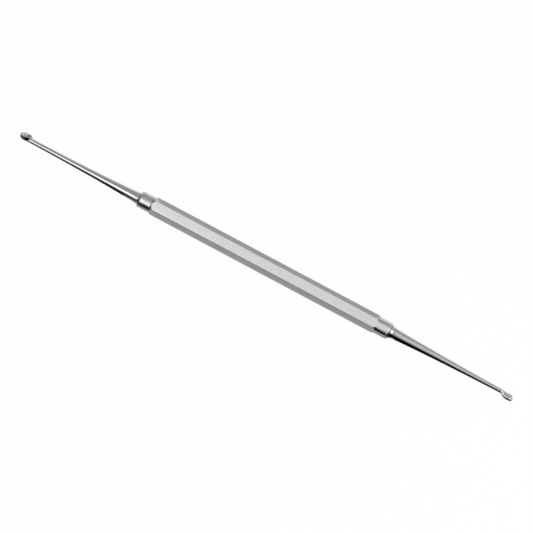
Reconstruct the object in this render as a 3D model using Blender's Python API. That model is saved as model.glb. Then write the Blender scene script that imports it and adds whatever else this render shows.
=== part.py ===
"""Double-ended steel ear pick: a hexagonal handle bar with a scoop brazed into each end.

The tool lies along X on one flat of its handle. Z is up, and z = 0 is that flat.
Each scoop end is made in a frame of its own: the origin is the centre of the end
face that it is brazed to, +X points out to its tip and +Z is the way its cup opens.
All lengths are in metres.
"""

import math
from dataclasses import dataclass

import bmesh
import bpy

# Handle bar, turned at both ends from one length of hexagonal stock
ACROSS_FLATS = 0.00400
STOCK_EDGE_RADIUS = 0.00012
GRIP_LENGTH = 0.06068
SHOULDER_LENGTH = 0.00065

# Turned collar at the large scoop's end, smaller than the stock's flats
LARGE_COLLAR_DIAMETER = 0.00397
LARGE_COLLAR_LENGTH = 0.00342
LARGE_COLLAR_ROUND = 0.00055
RELIEF_GROOVE_WIDTH = 0.00022
RELIEF_GROOVE_DEPTH = 0.00016

# Turned collar at the small scoop's end, larger than the flats, which run on across it
SMALL_COLLAR_DIAMETER = 0.00410
SMALL_COLLAR_LENGTH = 0.00337
SMALL_COLLAR_ROUND = 0.00040

# Blind socket drilled in each end of the bar, and the tang that stands in it
TANG_DIAMETER = 0.00180
TANG_LENGTH = 0.00600
TANG_CHAMFER = 0.00020
SOCKET_END_SPACE = 0.00050
DRILL_POINT_ANGLE = math.radians(118)

# Braze between a tang and its socket: the space for it, the gap to its neighbours and the
# part of the tang that it covers. It shows as a ring in the seam, just below the surface.
BRAZE_SPACE = 0.00016
FIT_GAP = 0.00004
BRAZE_SLEEVE_SHARE = 0.75
SEAM_WIDTH = 0.00018
LARGE_SEAM_DIAMETER = 0.00276
SMALL_SEAM_DIAMETER = 0.00330

# Large scoop end: how far its tip stands from the bar's end face, its hollow taper and its
# cup. The foot of the shank flares out over its root. Rim height and back depth are
# measured from the shank's axis at the cup's middle, and the rim drops towards the tip. A
# bluntness is the power of an outline, where 2 is an ellipse. The heel is where the cup
# rises from the shank, and the heel slope is the length in which the front rises.
FLARE_LENGTH = 0.00037
LARGE_REACH = 0.03230
LARGE_ROOT_DIAMETER = 0.00278
LARGE_FLARE = 0.00006
LARGE_NECK_DIAMETER = 0.00115
LARGE_TAPER_SHARE = 0.42
LARGE_CUP_LENGTH = 0.00282
LARGE_CUP_WIDTH = 0.00220
LARGE_RIM_HEIGHT = 0.00076
LARGE_RIM_DROP = 0.00020
LARGE_TIP_BLUNTNESS = 2.6
LARGE_HEEL_BLUNTNESS = 2.6
LARGE_SECTION_BLUNTNESS = 2.0
LARGE_BACK_DEPTH = 0.00058
LARGE_CUP_WALL = 0.00020
LARGE_BOWL_DEPTH = 0.00072
LARGE_HEEL_WIDTH = 0.00070
LARGE_HEEL_SLOPE = 0.00050

# Small scoop end, the same sizes
SMALL_REACH = 0.03317
SMALL_ROOT_DIAMETER = 0.00280
SMALL_FLARE = 0.00031
SMALL_NECK_DIAMETER = 0.00096
SMALL_TAPER_SHARE = 0.70
SMALL_CUP_LENGTH = 0.00275
SMALL_CUP_WIDTH = 0.00202
SMALL_RIM_HEIGHT = 0.00080
SMALL_RIM_DROP = 0
SMALL_TIP_BLUNTNESS = 2.7
SMALL_HEEL_BLUNTNESS = 2.0
SMALL_SECTION_BLUNTNESS = 2.6
SMALL_BACK_DEPTH = 0.00014
SMALL_CUP_WALL = 0.00018
SMALL_BOWL_DEPTH = 0.00055
SMALL_HEEL_WIDTH = 0.00076
SMALL_HEEL_SLOPE = 0.00080

# The cups open nearly opposite ways. This is how far each leans from straight up.
LARGE_CUP_LEAN = math.radians(60)
SMALL_CUP_LEAN = math.radians(132)
HALF_TURN = math.pi

# How far every cut runs past the face that it starts from
CUT_OVERRUN = 0.00100

# Counts of sides, facets and rings
BAR_SIDES = 6
TURNED_FACETS = 72
ARC_STEPS = 5
EDGE_STEPS = 3
BACK_STEPS = 20
LIP_STEPS = 3
FRONT_STEPS = 12
SHANK_STEPS = 16
NECK_STEPS = 6
BOWL_STEPS = 14
TIP_STEPS = 5

# How wide the bowl's first and last rings and the tip's last ring are, against the widest
BOWL_END_SHARE = 0.10
TIP_END_SHARE = 0.07

# Part of a ring's half width that lies inside the lips, where no bowl is cut
LIP_SHARE = 0.9

# How much closer the shank's rings stand towards its root, which tapers fastest
SHANK_SPACING_POWER = 1.8

# Sharpness of the creases between the shank and the cup: round the back, and along it
JOIN_POWER = 8
BLEND_POWER = 4

# How often a length is halved to find where a ray leaves the cup's back
HALVINGS = 30

# Edges that turn by more than this stay sharp
SHARP_ANGLE = math.radians(35)

# Linear colours and roughness of the metals
BAR_STEEL = (0.56, 0.56, 0.55)
BAR_ROUGHNESS = 0.34
SHANK_STEEL = (0.62, 0.62, 0.62)
SHANK_ROUGHNESS = 0.14
BRAZE_SILVER = (0.50, 0.49, 0.46)
BRAZE_ROUGHNESS = 0.30


@dataclass(frozen=True)
class ScoopEnd:
    """Sizes of one shank with its cup, so that both ends share their functions."""

    reach: float
    root_diameter: float
    flare: float
    neck_diameter: float
    taper_share: float
    cup_length: float
    cup_width: float
    rim_height: float
    rim_drop: float
    tip_bluntness: float
    heel_bluntness: float
    section_bluntness: float
    back_depth: float
    wall: float
    bowl_depth: float
    heel_width: float
    heel_slope: float


LARGE_SCOOP = ScoopEnd(
    LARGE_REACH, LARGE_ROOT_DIAMETER, LARGE_FLARE, LARGE_NECK_DIAMETER, LARGE_TAPER_SHARE,
    LARGE_CUP_LENGTH, LARGE_CUP_WIDTH, LARGE_RIM_HEIGHT, LARGE_RIM_DROP, LARGE_TIP_BLUNTNESS,
    LARGE_HEEL_BLUNTNESS, LARGE_SECTION_BLUNTNESS, LARGE_BACK_DEPTH, LARGE_CUP_WALL,
    LARGE_BOWL_DEPTH, LARGE_HEEL_WIDTH, LARGE_HEEL_SLOPE,
)
SMALL_SCOOP = ScoopEnd(
    SMALL_REACH, SMALL_ROOT_DIAMETER, SMALL_FLARE, SMALL_NECK_DIAMETER, SMALL_TAPER_SHARE,
    SMALL_CUP_LENGTH, SMALL_CUP_WIDTH, SMALL_RIM_HEIGHT, SMALL_RIM_DROP, SMALL_TIP_BLUNTNESS,
    SMALL_HEEL_BLUNTNESS, SMALL_SECTION_BLUNTNESS, SMALL_BACK_DEPTH, SMALL_CUP_WALL,
    SMALL_BOWL_DEPTH, SMALL_HEEL_WIDTH, SMALL_HEEL_SLOPE,
)

AXIS_HEIGHT = ACROSS_FLATS / 2
HALF_SIDE_ANGLE = math.pi / BAR_SIDES
CORNER_RADIUS = AXIS_HEIGHT / math.cos(HALF_SIDE_ANGLE)
LARGE_FACE_X = -(GRIP_LENGTH / 2 + LARGE_COLLAR_LENGTH)
SMALL_FACE_X = GRIP_LENGTH / 2 + SMALL_COLLAR_LENGTH
TANG_RADIUS = TANG_DIAMETER / 2
SOCKET_RADIUS = TANG_RADIUS + BRAZE_SPACE


def clear_scene():
    """Remove whatever the open file holds."""
    for item in list(bpy.data.objects):
        bpy.data.objects.remove(item, do_unlink=True)


def make_metal(name, colour, roughness):
    """Bare metal with one colour and roughness."""
    material = bpy.data.materials.new(name)
    material.use_nodes = True
    shader = material.node_tree.nodes["Principled BSDF"]
    shader.inputs["Base Color"].default_value = (*colour, 1.0)
    shader.inputs["Metallic"].default_value = 1.0
    shader.inputs["Roughness"].default_value = roughness
    return material


def add_object(name, shape, material=None):
    """Turn a bmesh into an object, with its faces pointing out."""
    bmesh.ops.recalc_face_normals(shape, faces=shape.faces)
    mesh = bpy.data.meshes.new(name)
    shape.to_mesh(mesh)
    shape.free()
    mesh.shade_smooth()
    mesh.set_sharp_from_angle(angle=SHARP_ANGLE)
    item = bpy.data.objects.new(name, mesh)
    bpy.context.collection.objects.link(item)
    if material is not None:
        mesh.materials.append(material)
    return item


def add_cutter(name, shape):
    """A guide shape that only cuts others."""
    cutter = add_object(name, shape)
    cutter.hide_render = True
    cutter.display_type = "WIRE"
    return cutter


def add_boolean(item, cutter, operation):
    """Cut or trim an object with a guide shape, as a live modifier."""
    cut = item.modifiers.new(cutter.name, "BOOLEAN")
    cut.operation = operation
    cut.solver = "EXACT"
    cut.object = cutter


def skin_rings(rings, closed=False):
    """Join rings of equally many points into one body, capped or closed on itself."""
    shape = bmesh.new()
    loops = [[shape.verts.new(point) for point in ring] for ring in rings]
    pairs = list(zip(loops, loops[1:]))
    if closed:
        pairs.append((loops[-1], loops[0]))
    for first, second in pairs:
        for corner in range(len(first)):
            following = (corner + 1) % len(first)
            shape.faces.new((first[corner], first[following], second[following], second[corner]))
    if not closed:
        shape.faces.new(loops[0])
        shape.faces.new(loops[-1])
    return shape


def turn_profile(profile, closed=False):
    """Turn points (x, radius) about the X axis."""
    angles = [2 * math.pi * step / TURNED_FACETS for step in range(TURNED_FACETS)]
    rings = [
        [(x, radius * math.cos(angle), radius * math.sin(angle)) for angle in angles]
        for x, radius in profile
    ]
    return skin_rings(rings, closed)


def arc_points(centre_x, centre_radius, arc_radius, start_angle, end_angle):
    """Points (x, radius) along an arc of a turned profile."""
    points = []
    for step in range(ARC_STEPS + 1):
        angle = start_angle + (end_angle - start_angle) * step / ARC_STEPS
        points.append((
            centre_x + arc_radius * math.cos(angle),
            centre_radius + arc_radius * math.sin(angle),
        ))
    return points


def turned_bar_profile():
    """Outline that the lathe leaves, from the large scoop's end to the small one's."""
    grip_start = -GRIP_LENGTH / 2
    grip_end = GRIP_LENGTH / 2
    large_radius = LARGE_COLLAR_DIAMETER / 2
    small_radius = SMALL_COLLAR_DIAMETER / 2
    groove_radius = large_radius - RELIEF_GROOVE_DEPTH
    large_round = arc_points(
        LARGE_FACE_X + LARGE_COLLAR_ROUND, large_radius - LARGE_COLLAR_ROUND,
        LARGE_COLLAR_ROUND, math.pi, math.pi / 2,
    )
    small_round = arc_points(
        SMALL_FACE_X - SMALL_COLLAR_ROUND, small_radius - SMALL_COLLAR_ROUND,
        SMALL_COLLAR_ROUND, math.pi / 2, 0,
    )
    return [
        *large_round,
        (grip_start - RELIEF_GROOVE_WIDTH, large_radius),
        (grip_start - RELIEF_GROOVE_WIDTH / 2, groove_radius),
        (grip_start, large_radius),
        (grip_start + SHOULDER_LENGTH, CORNER_RADIUS),
        (grip_end - SHOULDER_LENGTH, CORNER_RADIUS),
        (grip_end, small_radius),
        *small_round,
    ]


def hexagonal_stock():
    """Hexagonal stock with softened edges, longer than the bar, flats up and down."""
    angles = [2 * HALF_SIDE_ANGLE * side for side in range(BAR_SIDES)]
    ends = (LARGE_FACE_X - CUT_OVERRUN, SMALL_FACE_X + CUT_OVERRUN)
    shape = skin_rings([
        [(x, CORNER_RADIUS * math.cos(angle), CORNER_RADIUS * math.sin(angle)) for angle in angles]
        for x in ends
    ])
    long_edges = [edge for edge in shape.edges if edge.verts[0].co.x != edge.verts[1].co.x]
    setback = STOCK_EDGE_RADIUS * math.tan(HALF_SIDE_ANGLE)
    bmesh.ops.bevel(
        shape, geom=long_edges, offset=setback, offset_type="OFFSET",
        segments=EDGE_STEPS, profile=0.5, affect="EDGES",
    )
    return shape


def socket_cutter(name, face_x, inward):
    """Drill for one blind socket, with its point, started outside the end face."""
    depth = SEAM_WIDTH - TANG_LENGTH - SOCKET_END_SPACE
    point = SOCKET_RADIUS / math.tan(DRILL_POINT_ANGLE / 2)
    point_flat = FIT_GAP
    profile = [
        (face_x - inward * CUT_OVERRUN, SOCKET_RADIUS),
        (face_x - inward * depth, SOCKET_RADIUS),
        (face_x - inward * (depth - point), point_flat),
    ]
    return add_cutter(name, turn_profile(profile))


def make_handle(material):
    """Handle bar: turned outline, trimmed by the flats and drilled from both ends."""
    handle = add_object("handle_bar", turn_profile(turned_bar_profile()), material)
    handle.location = (0, 0, AXIS_HEIGHT)
    guides = [
        (add_cutter("hexagonal_stock_guide", hexagonal_stock()), "INTERSECT"),
        (socket_cutter("large_socket_drill", LARGE_FACE_X, 1), "DIFFERENCE"),
        (socket_cutter("small_socket_drill", SMALL_FACE_X, -1), "DIFFERENCE"),
    ]
    for guide, operation in guides:
        guide.parent = handle
        add_boolean(handle, guide, operation)
    return handle


def smooth_step(value, start, end):
    """Rise smoothly from 0 at start to 1 at end."""
    share = min(max((value - start) / (end - start), 0), 1)
    return share * share * (3 - 2 * share)


def dome(distance, reach, power=2):
    """Height of a unit half ellipse, or a blunter curve, at a distance from its middle."""
    return max(1 - abs(distance / reach) ** power, 0) ** (1 / power)


def blended(first, second, power):
    """The larger of two sizes, softened where they are alike."""
    small, large = sorted((first, second))
    return large * (1 + (small / large) ** power) ** (1 / power)


def cup_centre(scoop):
    """Where the cup's middle stands along the scoop end."""
    return scoop.reach - scoop.cup_length / 2


def shank_radius(scoop, x):
    """Hollow taper of the shank, from its flared foot at the seam to the heel of the cup."""
    length = scoop.reach - scoop.cup_length - SEAM_WIDTH
    decay = math.exp(-(x - SEAM_WIDTH) / (scoop.taper_share * length))
    last = math.exp(-1 / scoop.taper_share)
    share = min(max((decay - last) / (1 - last), 0), 1)
    flare = scoop.flare * math.exp(-(x - SEAM_WIDTH) / FLARE_LENGTH)
    return (scoop.neck_diameter + (scoop.root_diameter - scoop.neck_diameter) * share) / 2 + flare


def reach_of_circle(angle, centre, radius):
    """How far a circle about the shank's axis reaches from a point over the axis."""
    side = centre * math.cos(angle)
    inside = radius ** 2 - side ** 2
    return max(math.sqrt(inside) - centre * math.sin(angle), 0) if inside > 0 else 0


def reach_of_cup(angle, centre, half_width, rim, depth, power):
    """How far half an ellipse, or a blunter curve, hung from the rim reaches from a point."""
    across, up = math.cos(angle) / half_width, math.sin(angle) / depth
    under = (rim - centre) / depth
    low, high = 0, half_width + depth
    for _ in range(HALVINGS):
        middle = (low + high) / 2
        if abs(middle * across) ** power + abs(under - middle * up) ** power < 1:
            low = middle
        else:
            high = middle
    return low


def ring(x, radius, corner_point, crown, bowl_half_width, cup=None):
    """One cross-section: round the back, then over the front with its lips and bowl.

    The corners of the front stand at either side of it. Without a cup, the back is the
    shank's circle and the front is the rest of it. A cup adds half an ellipse, or a
    blunter curve, that hangs from the corners, and the bowl.
    """
    half_width, corner = corner_point
    depth, bowl_depth, power, sharpness = cup or (0, 0, 0, 0)
    centre = corner / 2 if radius > 0 else corner - depth / 2
    start = math.atan2(corner - centre, half_width)
    points = [(x, half_width, corner)]
    for step in range(1, BACK_STEPS):
        angle = start - (math.pi + 2 * start) * step / BACK_STEPS
        reach = reach_of_circle(angle, centre, radius)
        if cup:
            hung = reach_of_cup(angle, centre, half_width, corner, depth, power)
            reach = blended(reach, hung, sharpness)
        points.append((x, reach * math.cos(angle), centre + reach * math.sin(angle)))
    points.append((x, -half_width, corner))
    lip = [
        half_width + (bowl_half_width - half_width) * step / LIP_STEPS
        for step in range(1, LIP_STEPS)
    ]
    bowl = [
        bowl_half_width * math.cos(math.pi * step / FRONT_STEPS) for step in range(FRONT_STEPS + 1)
    ]
    for y in [-y for y in lip] + bowl[::-1] + lip[::-1]:
        height = corner + crown * (dome(y * LIP_SHARE, half_width) - dome(LIP_SHARE, 1))
        if abs(y) < bowl_half_width:
            height -= bowl_depth * dome(y, bowl_half_width)
        points.append((x, y, height))
    return points


def corner_of_circle(radius):
    """Where the corners of the front stand on a circle."""
    return radius * LIP_SHARE, radius * dome(LIP_SHARE, 1)


def round_ring(x, radius):
    """A circular cross-section."""
    side, shoulder = corner_of_circle(radius)
    return ring(x, radius, (side, shoulder), radius, side * LIP_SHARE)


def cup_ring(scoop, x):
    """Cross-section of the neck and the cup, worked out from where it stands."""
    half_length = scoop.cup_length / 2
    centre = cup_centre(scoop)
    heel = centre - half_length
    rise = smooth_step(x, heel - scoop.heel_slope, heel)
    fading = 1 - smooth_step(x, heel, centre)
    radius = shank_radius(scoop, x)
    side, shoulder = corner_of_circle(radius)
    bluntness = scoop.tip_bluntness if x > centre else scoop.heel_bluntness
    outline = dome(max(x, heel) - centre, half_length, bluntness)
    rim = scoop.rim_height - scoop.rim_drop * (max(x, heel) - centre) / half_length
    post = (side + (scoop.heel_width / 2 - side) * rise) * fading
    half_width = blended(scoop.cup_width / 2 * outline, post, BLEND_POWER)
    corner = shoulder + (rim - shoulder) * rise
    cup_depth = (scoop.rim_height + scoop.back_depth) * outline
    depth = blended(cup_depth, corner * fading, BLEND_POWER)
    bowl = dome(x - centre, half_length - scoop.wall, bluntness)
    inner_half_width = scoop.cup_width / 2 - scoop.wall
    if bowl > 0:
        bowl_half_width = inner_half_width * bowl
    else:
        bowl_half_width = min(inner_half_width * BOWL_END_SHARE, half_width * LIP_SHARE)
        bowl_half_width += (half_width * LIP_SHARE - bowl_half_width) * (1 - rise)
    core = radius * (1 - smooth_step(x, centre - half_length / 2, centre + half_length / 2))
    cup = (depth, scoop.bowl_depth * bowl, scoop.section_bluntness, JOIN_POWER / rise)
    return ring(x, core, (half_width, corner), radius * (1 - rise), bowl_half_width, cup)


def spaced(start, end, steps):
    """Evenly spaced places after start, up to and with end."""
    return [start + (end - start) * step / steps for step in range(1, steps + 1)]


def scoop_rings(scoop):
    """Cross-sections from the tang's inner end to the tip of the cup."""
    tang_end = SEAM_WIDTH - TANG_LENGTH
    half_length = scoop.cup_length / 2
    centre = cup_centre(scoop)
    neck_start = centre - half_length - scoop.heel_slope
    inner_length = half_length - scoop.wall
    rings = [
        round_ring(tang_end, TANG_RADIUS - TANG_CHAMFER),
        round_ring(tang_end + TANG_CHAMFER, TANG_RADIUS),
        round_ring(SEAM_WIDTH, TANG_RADIUS),
        round_ring(SEAM_WIDTH, shank_radius(scoop, SEAM_WIDTH)),
    ]
    for share in spaced(0, 1, SHANK_STEPS):
        x = SEAM_WIDTH + (neck_start - SEAM_WIDTH) * share ** SHANK_SPACING_POWER
        rings.append(round_ring(x, shank_radius(scoop, x)))
    bowl_start = centre - inner_length * dome(BOWL_END_SHARE, 1, scoop.heel_bluntness)
    bowl_end = centre + inner_length * dome(BOWL_END_SHARE, 1, scoop.tip_bluntness)
    tip_end = centre + half_length * dome(TIP_END_SHARE, 1, scoop.tip_bluntness)
    for x in spaced(neck_start, bowl_start, NECK_STEPS):
        rings.append(cup_ring(scoop, x))
    for angle in spaced(math.pi, 0, BOWL_STEPS):
        share = (1 + math.cos(angle)) / 2
        rings.append(cup_ring(scoop, bowl_start + (bowl_end - bowl_start) * share))
    for angle in spaced(0, math.pi / 2, TIP_STEPS):
        rings.append(cup_ring(scoop, bowl_end + (tip_end - bowl_end) * math.sin(angle)))
    return rings


def make_scoop(name, scoop, material, location, rotation):
    """Scoop end: tang, tapered shank and hollow cup in one piece."""
    item = add_object(name, skin_rings(scoop_rings(scoop)), material)
    item.location = location
    item.rotation_euler = rotation
    return item


def make_braze(name, outside_diameter, material, location, rotation):
    """Braze joint: a sleeve round the tang and a ring that shows in the seam."""
    sleeve_end = -TANG_LENGTH * BRAZE_SLEEVE_SHARE
    profile = [
        (FIT_GAP, SOCKET_RADIUS - FIT_GAP),
        (sleeve_end, SOCKET_RADIUS - FIT_GAP),
        (sleeve_end, TANG_RADIUS + FIT_GAP),
        (SEAM_WIDTH - FIT_GAP, TANG_RADIUS + FIT_GAP),
        (SEAM_WIDTH - FIT_GAP, outside_diameter / 2),
        (FIT_GAP, outside_diameter / 2),
    ]
    item = add_object(name, turn_profile(profile, closed=True), material)
    item.location = location
    item.rotation_euler = rotation
    return item


def main():
    """Build the whole tool."""
    clear_scene()
    satin = make_metal("satin_stainless_bar", BAR_STEEL, BAR_ROUGHNESS)
    polished = make_metal("polished_stainless_shank", SHANK_STEEL, SHANK_ROUGHNESS)
    silver = make_metal("silver_braze", BRAZE_SILVER, BRAZE_ROUGHNESS)
    make_handle(satin)
    large_end = ((LARGE_FACE_X, 0, AXIS_HEIGHT), (LARGE_CUP_LEAN, 0, HALF_TURN))
    small_end = ((SMALL_FACE_X, 0, AXIS_HEIGHT), (SMALL_CUP_LEAN, 0, 0))
    make_scoop("large_scoop_end", LARGE_SCOOP, polished, *large_end)
    make_scoop("small_scoop_end", SMALL_SCOOP, polished, *small_end)
    make_braze("large_end_braze", LARGE_SEAM_DIAMETER, silver, *large_end)
    make_braze("small_end_braze", SMALL_SEAM_DIAMETER, silver, *small_end)


main()
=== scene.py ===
"""Looks of a double-ended steel ear pick, built over its packed frame.

Laid out as a Blender add-on and run as a script. Everything is in metres in the
frame's own coordinates: the tool lies along X on one flat of its handle, z = 0 is the
surface that it lies on, and the handle's axis is half the bar's thickness above it.
"""

import math

import bpy
import numpy as np
from mathutils import Matrix, Vector


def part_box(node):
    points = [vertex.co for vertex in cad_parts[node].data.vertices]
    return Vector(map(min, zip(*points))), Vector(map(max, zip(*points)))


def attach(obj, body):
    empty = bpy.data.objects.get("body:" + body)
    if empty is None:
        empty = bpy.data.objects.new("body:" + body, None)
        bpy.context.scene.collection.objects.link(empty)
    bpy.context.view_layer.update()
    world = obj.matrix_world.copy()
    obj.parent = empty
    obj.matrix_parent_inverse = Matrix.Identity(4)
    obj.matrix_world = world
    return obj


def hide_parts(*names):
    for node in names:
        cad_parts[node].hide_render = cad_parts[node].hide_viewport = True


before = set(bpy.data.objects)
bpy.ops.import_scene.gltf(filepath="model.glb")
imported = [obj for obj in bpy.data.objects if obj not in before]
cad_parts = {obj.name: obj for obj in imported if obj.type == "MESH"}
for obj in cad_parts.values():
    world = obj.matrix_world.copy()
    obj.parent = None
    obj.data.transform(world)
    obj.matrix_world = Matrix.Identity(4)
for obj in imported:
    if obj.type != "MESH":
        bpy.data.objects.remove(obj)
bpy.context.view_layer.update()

bl_info = {
    "name": "Ear Pick Finish",
    "version": (1, 0, 0),
    "blender": (4, 5, 0),
    "location": "3D View > Sidebar > Ear Pick",
    "description": "Builds the finished surfaces of a steel ear pick and the table that it lies on",
    "category": "Object",
}

MM = 0.001

# What the frame gives: the bar's end faces, its thickness and the tips of the scoops
BAR_LOW, BAR_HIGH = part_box("handle_bar")
LARGE_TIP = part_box("large_scoop_end")[0].x
SMALL_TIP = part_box("small_scoop_end")[1].x
ACROSS_FLATS = BAR_HIGH.z - BAR_LOW.z
AXIS_HEIGHT = BAR_LOW.z + ACROSS_FLATS / 2

# The bar has six sides, and each flat takes the angle of two half sides
SIDES = 6
HALF_SIDE = math.pi / SIDES

# Numbers of points round the bar's flats and round a shank or cup, back and front
BAR_STEPS = 40
BACK_STEPS = 36
FRONT_STEPS = 28

# Numbers of rings along the bar, the scoop ends and the braze
SOCKET_STEPS = 6
LARGE_ROUND_STEPS = 14
SMALL_ROUND_STEPS = 12
LARGE_COLLAR_STEPS = 12
SMALL_COLLAR_STEPS = 14
GROOVE_STEPS = 4
SHOULDER_STEPS = 26
GRIP_END_STEPS = 8
GRIP_STEPS = 24
SHANK_STEPS = 60
NECK_STEPS = 16
BOWL_STEPS = 30
TIP_STEPS = 12
BRAZE_FACETS = 120

# How much closer the bar's points stand near its long edges
EASED_SHARE = 0.6
# Where the bar's turned outline comes clear of the hexagon's corners, as a share of the
# shoulder's length, and how far out it then runs, as a share of the corners' reach
GRIP_END_SHARE = 1.6
CLEAR_SHARE = 1.02
# Radius of a socket's innermost ring, as a share of the socket's
SOCKET_CENTRE_SHARE = 0.02
# How round the edges are where the lathe's cut meets a flat
MEETING_SOFTNESS = 0.03 * MM
# How closely the wear keeps to the bar's long edges
EDGE_WEAR_POWER = 5
# Edges that turn by more than this stay sharp
SHARP_ANGLE = math.radians(50)

# Chamfer at a tang's inner end, as a share of the tang's radius
TANG_CHAMFER_SHARE = 0.1
# How much closer a shank's rings stand at its foot
SHANK_SPACING_POWER = 1.8
# How sharply the shank's circle meets the cup
JOIN_POWER = 8
# How closely the cup keeps to the larger of its heel and its rim while one gives way
SWELL_POWER = 4
# How often a range is halved to find where a curve lies
HALVINGS = 30
# What part of a half width lies inside the lips, which on a circle is also where the
# front's corners stand, and where the lips' own points stand
LIP_SHARE = 0.9
LIP_SHARES = (0.15, 0.4, 0.7)
# Widths of the hollow's end rings and of the tip's last ring, as shares of the widest
BOWL_END_SHARE = 0.04
TIP_END_SHARE = 0.07

# Grain of the finishes, beside the spacings that the finish settings hold: clouds on the
# flats, smudges on the collars, polishing lines and patches on the shanks, pools in the
# braze, and how deep each finish goes
CLOUD_SIZE = 2.6 * MM
SMUDGE_SIZE = 1.1 * MM
POLISH_SPACING = 0.12 * MM
PATCH_SIZE = 1.6 * MM
POOL_SIZE = 0.35 * MM
BELT_DEPTH = 0.006 * MM
TOOL_MARK_DEPTH = 0.004 * MM
POLISH_DEPTH = 0.002 * MM
POOL_DEPTH = 0.01 * MM
# How much rougher a cup is than its shank
CUP_ROUGHNESS = 0.13
# The values between which most of a noise lies
NOISE_LOW = 0.3
NOISE_HIGH = 0.7

# Table: how wide it is, and how much of its white is its own
TABLE_SIDE = 4.0
TABLE_WHITE_SHARE = 0.95

# Light: a grey room, a long soft box slanting over the tool, one over its large scoop and
# one off its small end. Each has a name, a place, a size, a radiance, a spin and an aim.
STUDIO_GREY = "#BCBCBC"
SOFT_BOXES = (
    ("overhead_soft_box", (-0.003, -0.012, 0.222), (0.145, 0.513), 0.50, math.radians(-14), None),
    ("large_end_soft_box", (-0.096, -0.082, 0.230), (0.104, 0.19), 1.12, 0.0, None),
    ("right_soft_box", (0.29, 0.01, 0.23), (0.34, 0.36), 2.1, math.pi / 2, (0.035, 0.0, 0.0)),
)


def lying(corners, lift=0.0001):
    """Corners (x, y) of a card that lies just over the table."""
    return [(x, y, lift) for x, y in corners]


# Cards that the steel mirrors, each with its tone and its corners. They are painted
# reflections: each glows in its own tone, shows only in the steel and lights nothing. The
# standing ones paint dark and grey parts of the room. The ones lying on the table paint
# the shade that the tool leaves on the table near it. The painted shadow card on the
# table leaves room for the near grey one, and the one by the large tip lies over it.
NEAR_LEFT, NEAR_RIGHT = -0.0380, 0.0355
NEAR_FRONT, NEAR_BACK = -0.014, -0.001
CARDS = (
    ("standing_dark_card", "#101010", (
        (-0.25, -0.26, 0.0), (0.25, -0.16, 0.0), (0.25, -0.16, 0.26), (-0.25, -0.26, 0.14),
    )),
    ("standing_grey_card", "#606060", (
        (-0.25, -0.257, 0.0), (-0.0775, -0.2225, 0.0), (-0.0775, -0.2225, 0.18),
        (-0.25, -0.257, 0.16),
    )),
    ("left_grey_card", "#747474", (
        (-0.32, -0.26, 0.0), (-0.32, 0.30, 0.0), (-0.32, 0.30, 0.30), (-0.32, -0.26, 0.30),
    )),
    ("right_dark_card", "#101010", (
        (0.25, -0.16, 0.0), (0.34, -0.05, 0.0), (0.34, -0.05, 0.16), (0.25, -0.16, 0.26),
    )),
    # Painted shadow: the tool's shade on the table beside it, as the steel mirrors it
    ("lying_painted_shadow_card", "#101010", lying((
        (-0.30, -0.30), (0.30, -0.30), (0.30, NEAR_BACK), (NEAR_RIGHT, NEAR_BACK),
        (NEAR_RIGHT, NEAR_FRONT), (NEAR_LEFT, NEAR_FRONT), (NEAR_LEFT, NEAR_BACK),
        (-0.30, NEAR_BACK),
    ))),
    ("near_grey_card", "#C0C0C0", lying((
        (NEAR_LEFT, NEAR_FRONT), (NEAR_RIGHT, NEAR_FRONT), (NEAR_RIGHT, NEAR_BACK),
        (NEAR_LEFT, NEAR_BACK),
    ))),
    ("far_grey_card", "#BABABA", lying((
        (-0.030, 0.001), (0.030, 0.001), (0.030, 0.060), (-0.030, 0.060),
    ))),
    ("large_tip_grey_card", "#707070", lying((
        (-0.120, -0.300), (-0.079, -0.300), (-0.0636, -0.0065), (-0.120, -0.0065),
    ), lift=0.0002)),
)

# Camera, from the photograph: a square picture 533 pixels wide, the size of a pixel at the
# tool, the tool's slope in the picture, how far the camera stands from straight above, the
# point of the tool at the picture's middle, and a long lens
PHOTO_SIDE = 533
PIXEL = 0.2375 * MM
PHOTO_SLOPE = math.radians(28.03)
CAMERA_TILT_X = math.radians(2.9)
CAMERA_TILT_Y = math.radians(4.2)
AIM_ALONG = 0.60 * MM
AIM_ACROSS = -0.115 * MM
LENS = 360.0
SENSOR = 36.0
CLIP_RATIO = 100


class EarPickBarSizes(bpy.types.PropertyGroup):
    """Sizes of the handle bar."""

    grip_length: bpy.props.FloatProperty(
        name="Grip length", description="Hexagonal stretch between the feet of the shoulders",
        default=60.68 * MM, unit="LENGTH",
    )
    shoulder_length: bpy.props.FloatProperty(
        name="Shoulder length", description="Length of the turned slope at each end of the grip",
        default=0.65 * MM, unit="LENGTH",
    )
    edge_radius: bpy.props.FloatProperty(
        name="Edge radius", description="Radius of the bar's long edges",
        default=0.12 * MM, unit="LENGTH",
    )
    crown: bpy.props.FloatProperty(
        name="Crown", description="How far polishing has drawn each flat down towards its edges",
        default=0.008 * MM, unit="LENGTH",
    )
    large_collar: bpy.props.FloatProperty(
        name="Large end collar", description="Diameter of the turned collar at the large scoop",
        default=3.97 * MM, unit="LENGTH",
    )
    small_collar: bpy.props.FloatProperty(
        name="Small end collar", description="Diameter of the turned collar at the small scoop",
        default=4.10 * MM, unit="LENGTH",
    )
    large_round: bpy.props.FloatProperty(
        name="Large end rounding", description="Radius of the collar's outer edge",
        default=0.55 * MM, unit="LENGTH",
    )
    small_round: bpy.props.FloatProperty(
        name="Small end rounding", description="Radius of the collar's outer edge",
        default=0.40 * MM, unit="LENGTH",
    )
    groove_width: bpy.props.FloatProperty(
        name="Groove width", description="Width of the relief groove behind the large end collar",
        default=0.22 * MM, unit="LENGTH",
    )
    groove_depth: bpy.props.FloatProperty(
        name="Groove depth", description="Depth of the relief groove",
        default=0.16 * MM, unit="LENGTH",
    )


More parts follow.
